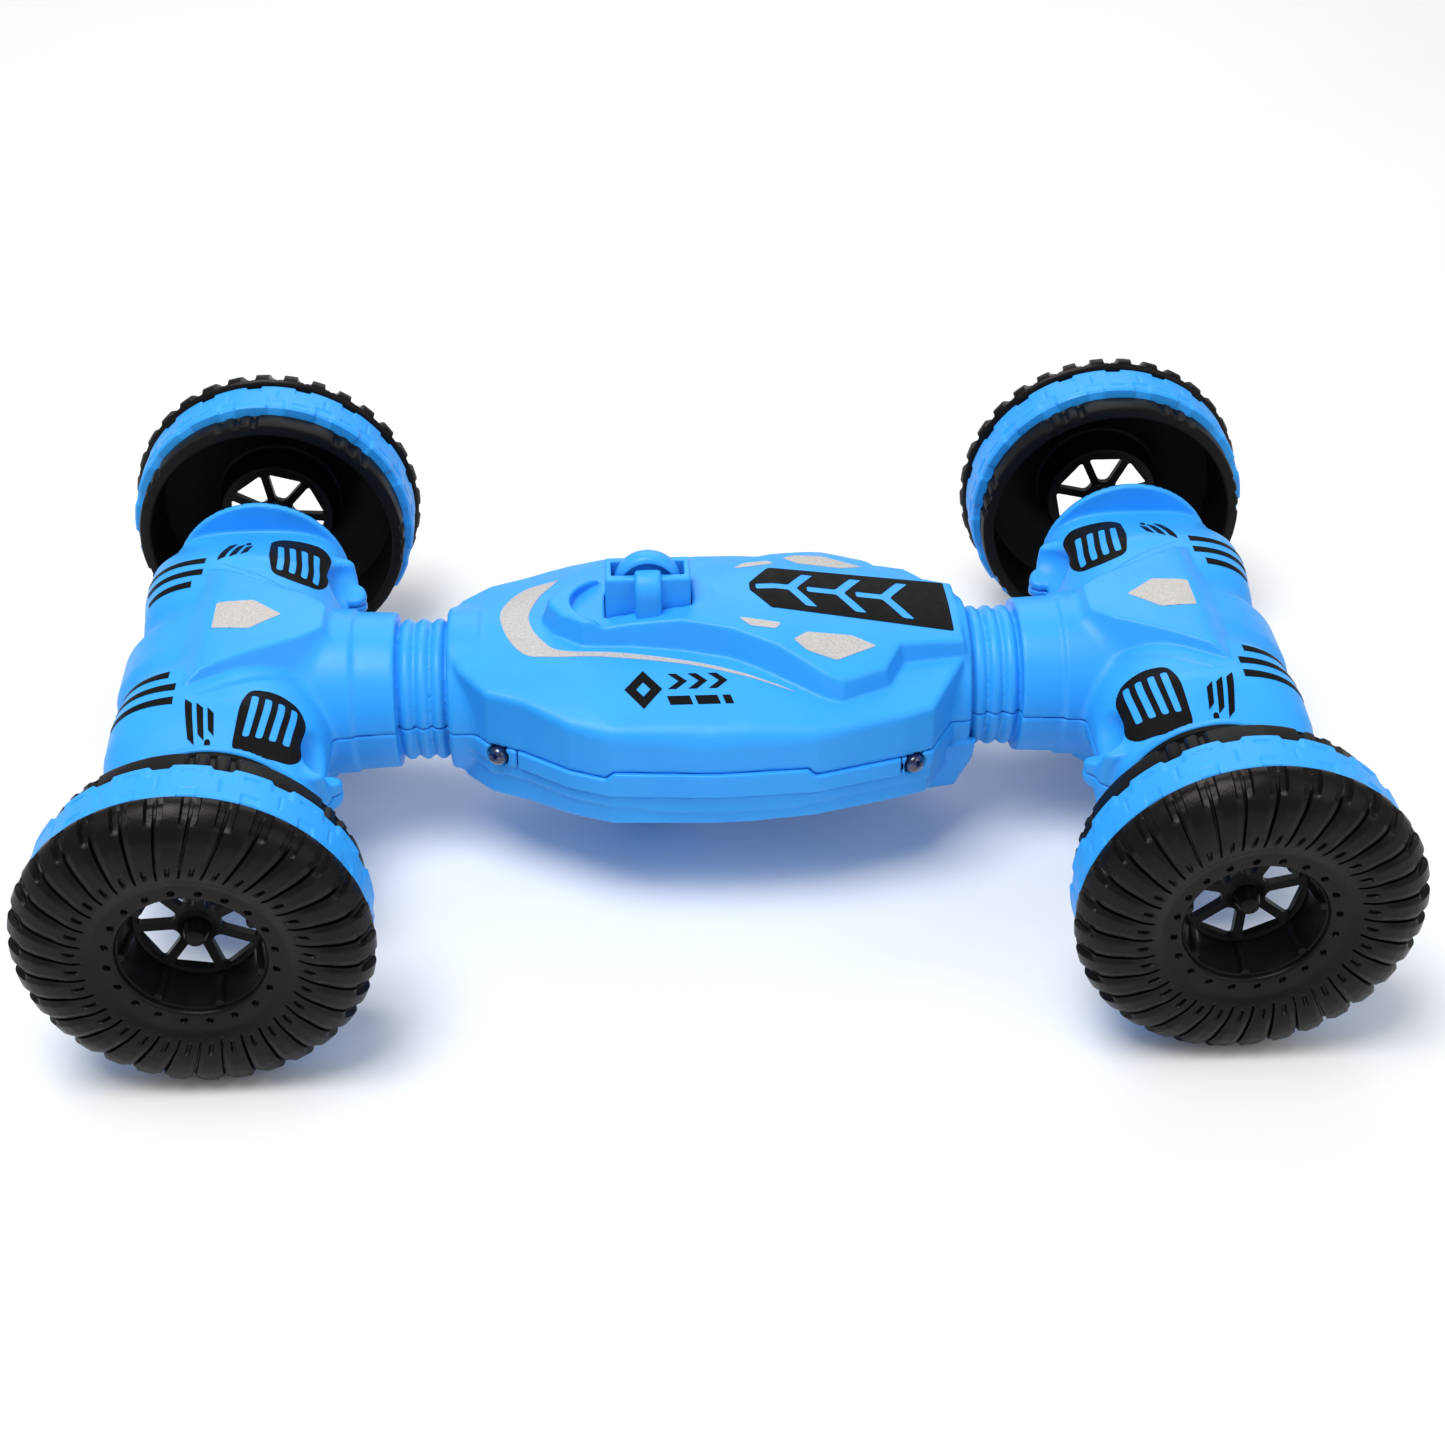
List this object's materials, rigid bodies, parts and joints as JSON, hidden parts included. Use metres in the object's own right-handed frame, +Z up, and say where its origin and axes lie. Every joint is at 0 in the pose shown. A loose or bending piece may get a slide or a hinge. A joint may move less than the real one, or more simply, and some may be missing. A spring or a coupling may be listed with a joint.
{
  "type": "rc stunt car",
  "caption": "Double-sided stunt car: a flat body between two end units that twist about the long axis, with fat tyres, tread rings and a roller above and below.",
  "frame": {"origin": "on the twist axis, midway between the two axles, at axle height", "axes": "+X from the front end to the rear end along the twist axis, +Y to the car's right-hand side along the axles, +Z up"},
  "size_m": [0.3588, 0.233, 0.0908],
  "materials": {
    "blue_shell": "satin moulded sky blue with fine surface grain",
    "blue_ring": "satin moulded sky blue",
    "tyre_rubber": "black soft vinyl with a dull sheen",
    "rim_black": "black satin plastic",
    "lens": "dark blue clear lens, polished",
    "switch_black": "black satin",
    "steel": "drawn steel",
    "screw_steel": "zinc plated",
    "motor_can": "plain metal can",
    "gear_nylon": "natural nylon",
    "battery_sleeve": "green shrink sleeve",
    "board_green": "green solder mask"
  },
  "bodies": {
    "body": {"body_upper_shell": "blue_shell", "body_lower_shell": "blue_shell", "left_side_strip": "blue_shell", "right_side_strip": "blue_shell", "front_left_led_lens": "lens", "front_right_led_lens": "lens", "rear_left_led_lens": "lens", "rear_right_led_lens": "lens", "top_roller_bracket": "blue_shell", "bottom_roller_bracket": "blue_shell", "top_roller_pin": "steel", "bottom_roller_pin": "steel", "case_screw_1": "screw_steel", "case_screw_2": "screw_steel", "case_screw_3": "screw_steel", "case_screw_4": "screw_steel", "battery_door": "blue_shell", "battery_door_screw": "screw_steel", "battery_pack": "battery_sleeve", "circuit_board": "board_green", "twist_motor": "motor_can"},
    "top_roller": {"top_roller": "blue_shell"},
    "bottom_roller": {"bottom_roller": "blue_shell"},
    "power_switch": {"power_switch": "switch_black"},
    "twist_layshaft": {"twist_layshaft": "steel"},
    "twist_idler": {"twist_idler": "gear_nylon"},
    "front_unit": {"front_upper_housing": "blue_shell", "front_lower_housing": "blue_shell", "front_left_motor": "motor_can", "front_right_motor": "motor_can", "front_twist_gear": "gear_nylon"},
    "rear_unit": {"rear_upper_housing": "blue_shell", "rear_lower_housing": "blue_shell", "rear_left_motor": "motor_can", "rear_right_motor": "motor_can", "rear_twist_gear": "gear_nylon"},
    "front_left_wheel": {"front_left_tyre": "tyre_rubber", "front_left_tread_ring": "blue_ring", "front_left_rim": "rim_black", "front_left_axle": "steel", "front_left_drive_gear": "gear_nylon"},
    "front_left_pinion": {"front_left_pinion": "gear_nylon"},
    "front_right_wheel": {"front_right_tyre": "tyre_rubber", "front_right_tread_ring": "blue_ring", "front_right_rim": "rim_black", "front_right_axle": "steel", "front_right_drive_gear": "gear_nylon"},
    "front_right_pinion": {"front_right_pinion": "gear_nylon"},
    "rear_left_wheel": {"rear_left_tyre": "tyre_rubber", "rear_left_tread_ring": "blue_ring", "rear_left_rim": "rim_black", "rear_left_axle": "steel", "rear_left_drive_gear": "gear_nylon"},
    "rear_left_pinion": {"rear_left_pinion": "gear_nylon"},
    "rear_right_wheel": {"rear_right_tyre": "tyre_rubber", "rear_right_tread_ring": "blue_ring", "rear_right_rim": "rim_black", "rear_right_axle": "steel", "rear_right_drive_gear": "gear_nylon"},
    "rear_right_pinion": {"rear_right_pinion": "gear_nylon"}
  },
  "joints": [
    {"name": "front_twist", "type": "hinge", "parent": "body", "child": "front_unit", "pos_m": [-0.134, 0, 0], "axis": [1, 0, 0], "range_deg": [-90, 90]},
    {"name": "rear_twist", "type": "hinge", "parent": "body", "child": "rear_unit", "pos_m": [0.134, 0, 0], "axis": [1, 0, 0], "range_deg": [-90, 90]},
    {"name": "twist_layshaft_spin", "type": "hinge", "parent": "body", "child": "twist_layshaft", "pos_m": [0, 0.02015, 0], "axis": [1, 0, 0], "range_deg": [-270, 270]},
    {"name": "twist_idler_spin", "type": "hinge", "parent": "body", "child": "twist_idler", "pos_m": [0, 0.01759, -0.00982], "axis": [1, 0, 0], "range_deg": [-270, 270]},
    {"name": "top_roller_spin", "type": "hinge", "parent": "body", "child": "top_roller", "pos_m": [-0.017, 0, 0.0349], "axis": [0, 1, 0], "continuous": true},
    {"name": "bottom_roller_spin", "type": "hinge", "parent": "body", "child": "bottom_roller", "pos_m": [-0.017, 0, -0.0349], "axis": [0, 1, 0], "continuous": true},
    {"name": "power_switch_slide", "type": "slide", "parent": "body", "child": "power_switch", "axis": [1, 0, 0], "range_m": [0, 0.004]},
    {"name": "front_left_wheel_spin", "type": "hinge", "parent": "front_unit", "child": "front_left_wheel", "pos_m": [-0.134, -0.1, 0], "axis": [0, 1, 0], "continuous": true},
    {"name": "front_left_pinion_spin", "type": "hinge", "parent": "front_unit", "child": "front_left_pinion", "pos_m": [-0.1213, -0.0465, 0], "axis": [0, 1, 0], "continuous": true},
    {"name": "front_right_wheel_spin", "type": "hinge", "parent": "front_unit", "child": "front_right_wheel", "pos_m": [-0.134, 0.1, 0], "axis": [0, 1, 0], "continuous": true},
    {"name": "front_right_pinion_spin", "type": "hinge", "parent": "front_unit", "child": "front_right_pinion", "pos_m": [-0.1213, 0.0465, 0], "axis": [0, 1, 0], "continuous": true},
    {"name": "rear_left_wheel_spin", "type": "hinge", "parent": "rear_unit", "child": "rear_left_wheel", "pos_m": [0.134, -0.1, 0], "axis": [0, 1, 0], "continuous": true},
    {"name": "rear_left_pinion_spin", "type": "hinge", "parent": "rear_unit", "child": "rear_left_pinion", "pos_m": [0.1213, -0.0465, 0], "axis": [0, 1, 0], "continuous": true},
    {"name": "rear_right_wheel_spin", "type": "hinge", "parent": "rear_unit", "child": "rear_right_wheel", "pos_m": [0.134, 0.1, 0], "axis": [0, 1, 0], "continuous": true},
    {"name": "rear_right_pinion_spin", "type": "hinge", "parent": "rear_unit", "child": "rear_right_pinion", "pos_m": [0.1213, 0.0465, 0], "axis": [0, 1, 0], "continuous": true}
  ],
  "couplings": [
    {"joint": "rear_twist", "follows": "front_twist", "ratio": -1},
    {"joint": "twist_layshaft_spin", "follows": "front_twist", "ratio": -3},
    {"joint": "twist_idler_spin", "follows": "front_twist", "ratio": 3},
    {"joint": "front_left_pinion_spin", "follows": "front_left_wheel_spin", "ratio": -2.5},
    {"joint": "front_right_pinion_spin", "follows": "front_right_wheel_spin", "ratio": -2.5},
    {"joint": "rear_left_pinion_spin", "follows": "rear_left_wheel_spin", "ratio": -2.5},
    {"joint": "rear_right_pinion_spin", "follows": "rear_right_wheel_spin", "ratio": -2.5}
  ]
}
